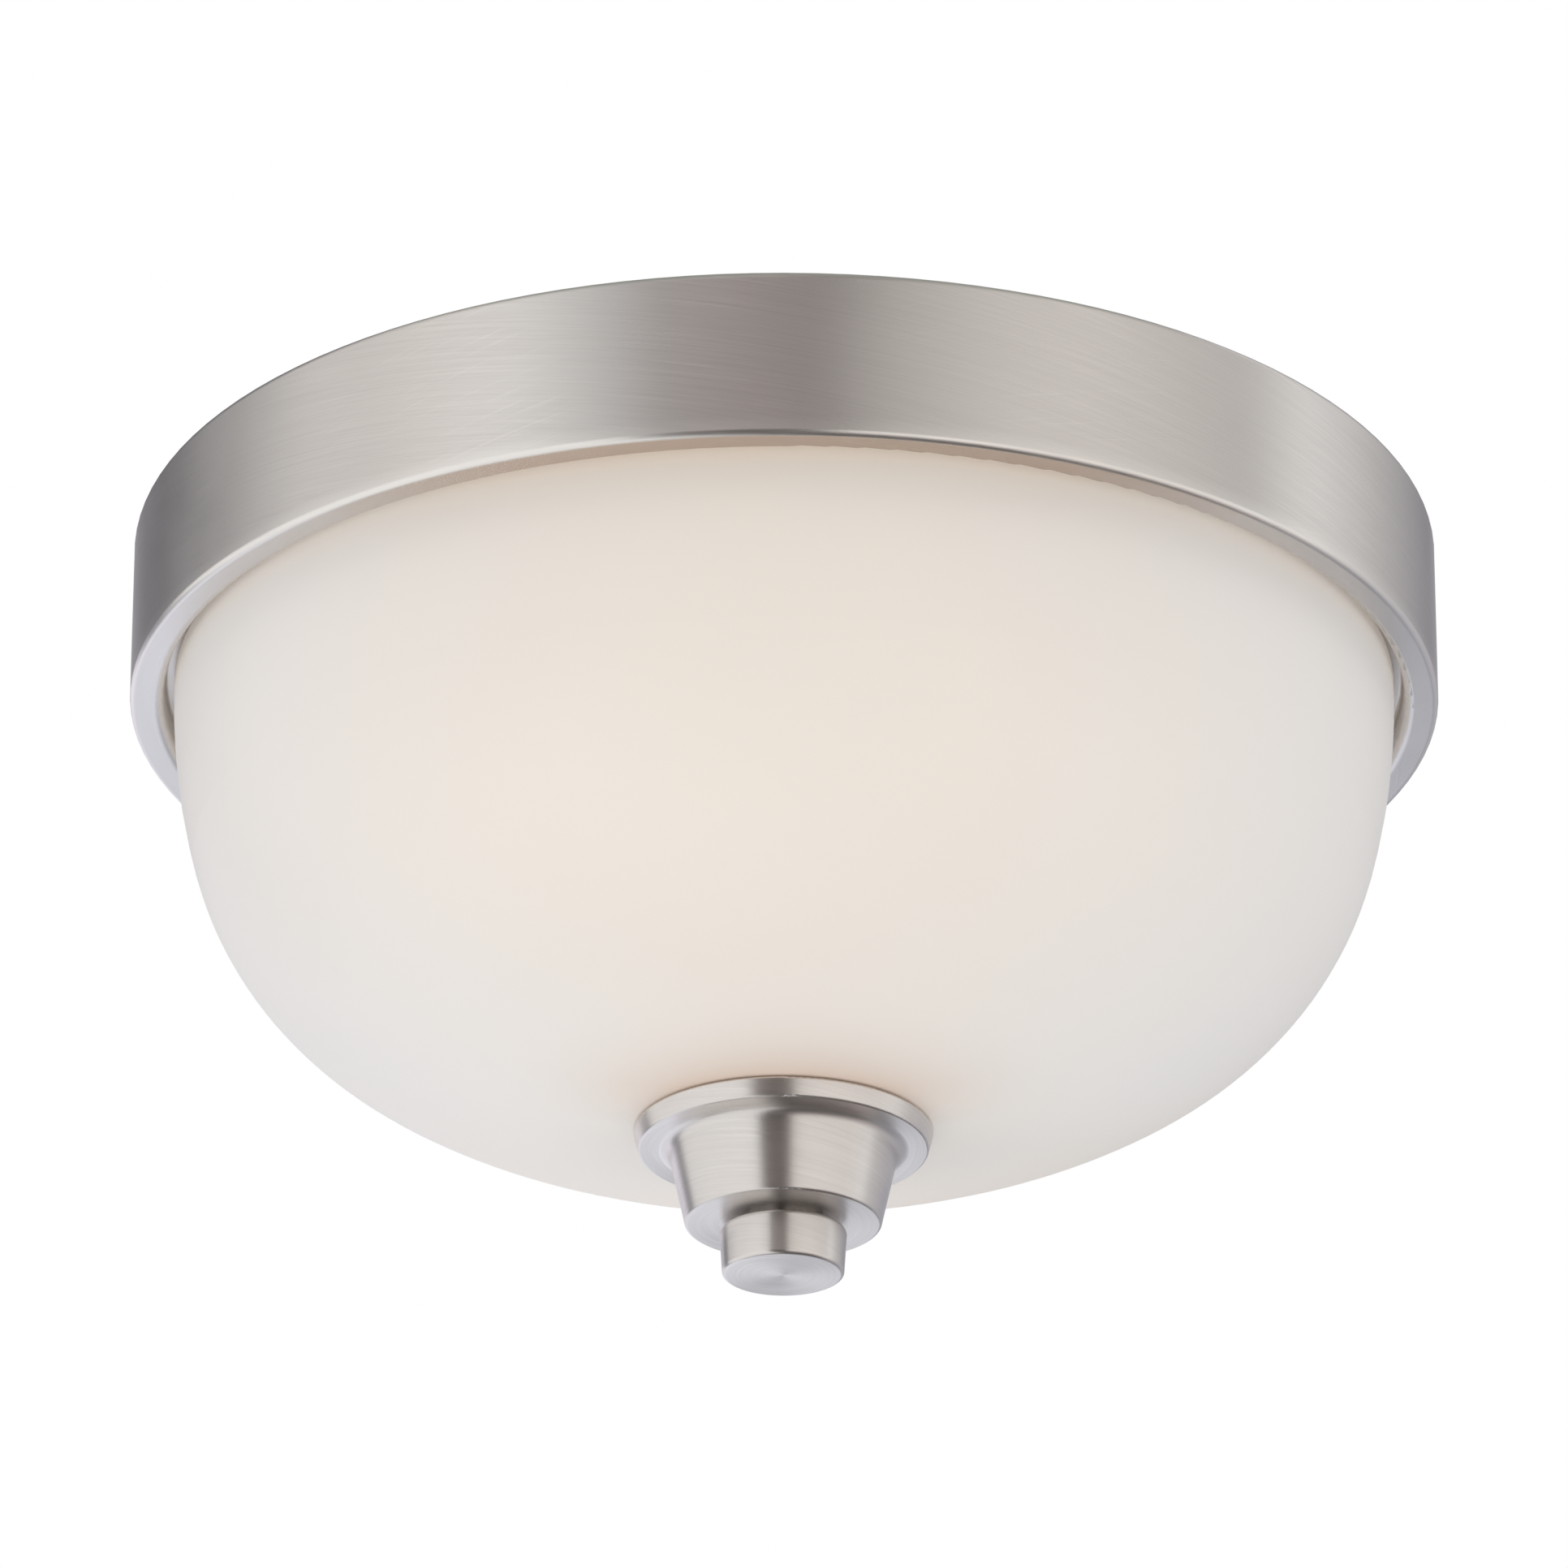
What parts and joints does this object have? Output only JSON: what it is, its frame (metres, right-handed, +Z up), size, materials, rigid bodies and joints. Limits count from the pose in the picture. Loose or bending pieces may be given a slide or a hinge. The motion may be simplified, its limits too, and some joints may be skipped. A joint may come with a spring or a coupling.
{
  "type": "flush mount ceiling light",
  "caption": "Round flush ceiling light: brushed nickel drum pan, opal glass bowl on a centre rod, and a turned cup and knob finial under it.",
  "frame": {"origin": "centre of the outlet box screw pattern, on the crossbar's ceiling face, in the plane of the ceiling", "axes": "+Z up out of the top of the light towards the ceiling, +X along the mounting crossbar and along both lamps, -Y the front, where the front lamp is"},
  "size_m": [0.33, 0.33, 0.1936],
  "materials": {
    "brushed_nickel": "satin nickel plate, brushed round the axis",
    "opal_glass": "etched opal glass, lit from inside",
    "glass_fibre": "glass fibre pad with a foil face",
    "zinc_plated_steel": "bright zinc plate",
    "green_screw": "green finish that marks the ground screw",
    "copper": "bare copper",
    "brass": "plain brass",
    "rubber": "black rubber",
    "white_foam": "white rubber",
    "porcelain": "white glaze",
    "lamp_glass": "soft white inside coat",
    "lamp_cap": "rolled aluminium",
    "black_glass": "black glass insulator",
    "solder": "tin solder",
    "bushing_plastic": "natural nylon",
    "black_wire": "black insulation",
    "white_wire": "white insulation",
    "connector_plastic": "orange moulding"
  },
  "bodies": {
    "fixture": {"black_lead_front": "black_wire", "black_lead_rear": "black_wire", "bowl_stop_nut": "brass", "bowl_stop_washer": "zinc_plated_steel", "bracket_rivets": "zinc_plated_steel", "ceiling_pan": "brushed_nickel", "centre_contact_front": "brass", "centre_contact_rear": "brass", "crossbar_ground_screw": "green_screw", "ground_wire": "copper", "hanger_rod": "zinc_plated_steel", "insulation_pad": "glass_fibre", "lampholder_body_front": "porcelain", "lampholder_body_rear": "porcelain", "lampholder_bracket_front": "zinc_plated_steel", "lampholder_bracket_rear": "zinc_plated_steel", "lampholder_screws_front": "zinc_plated_steel", "lampholder_screws_rear": "zinc_plated_steel", "mounting_crossbar": "zinc_plated_steel", "pan_ground_screw": "zinc_plated_steel", "pan_mounting_screws": "zinc_plated_steel", "rod_bottom_nut": "zinc_plated_steel", "rod_lock_washers": "zinc_plated_steel", "rod_top_nut": "zinc_plated_steel", "screw_shell_front": "brass", "screw_shell_rear": "brass", "upper_gasket": "rubber", "white_lead_front": "white_wire", "white_lead_rear": "white_wire", "wire_bushing_front": "bushing_plastic", "wire_bushing_rear": "bushing_plastic", "wire_connector_black": "connector_plastic", "wire_connector_white": "connector_plastic"},
    "glass_bowl": {"glass_bowl": "opal_glass", "lower_gasket": "white_foam"},
    "finial_cup": {"finial_cup": "brushed_nickel"},
    "finial_knob": {"finial_knob": "brushed_nickel"},
    "bulb_front": {"bulb_globe_front": "lamp_glass", "bulb_cap_front": "lamp_cap", "bulb_insulator_front": "black_glass", "bulb_contact_front": "solder"},
    "bulb_rear": {"bulb_globe_rear": "lamp_glass", "bulb_cap_rear": "lamp_cap", "bulb_insulator_rear": "black_glass", "bulb_contact_rear": "solder"}
  },
  "joints": [
    {"name": "bowl_lower", "type": "slide", "parent": "fixture", "child": "glass_bowl", "axis": [0, 0, -1], "range_m": [0, 0.125]},
    {"name": "cup_lower", "type": "slide", "parent": "glass_bowl", "child": "finial_cup", "axis": [0, 0, -1], "range_m": [0, 0.0094]},
    {"name": "knob_unscrew", "type": "hinge", "parent": "finial_cup", "child": "finial_knob", "pos_m": [0, 0, -0.187], "axis": [0, 0, -1], "range_deg": [0, 3600]},
    {"name": "front_bulb_unscrew", "type": "hinge", "parent": "fixture", "child": "bulb_front", "pos_m": [0.02, -0.04, -0.074], "axis": [-1, 0, 0], "range_deg": [0, 1080]},
    {"name": "rear_bulb_unscrew", "type": "hinge", "parent": "fixture", "child": "bulb_rear", "pos_m": [-0.02, 0.04, -0.074], "axis": [1, 0, 0], "range_deg": [0, 1080]}
  ],
  "couplings": [
    {"joint": "knob_unscrew", "follows": "cup_lower", "rad_per_m": 6679}
  ]
}
